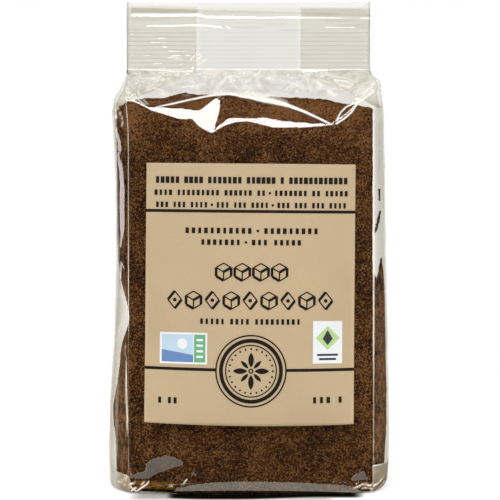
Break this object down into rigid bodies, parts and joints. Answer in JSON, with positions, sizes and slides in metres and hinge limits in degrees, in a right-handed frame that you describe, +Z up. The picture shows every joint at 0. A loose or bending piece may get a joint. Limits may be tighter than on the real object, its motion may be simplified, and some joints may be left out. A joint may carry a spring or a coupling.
{
  "type": "bag of dark muscovado sugar",
  "caption": "Clear gusseted film bag filled with dark brown sugar, standing upright on a flat base, with a crimped header across the top and a tan paper label on the front.",
  "frame": {"origin": "middle of the flat base that the bag stands on", "axes": "+Z up, from the base to the header; +Y from the front to the back; +X to the right, seen from the front"},
  "size_m": [0.1054, 0.0616, 0.1814],
  "materials": {
    "sugar": "moist, fine grained, dark brown",
    "film": "clear glossy polypropylene film",
    "label_paper": "matt uncoated tan paper",
    "ink": "matt dark brown printing ink",
    "sticker": "satin coated white paper with printed fields"
  },
  "bodies": {
    "root": {"bag": "sugar", "label": "label_paper"}
  },
  "joints": []
}
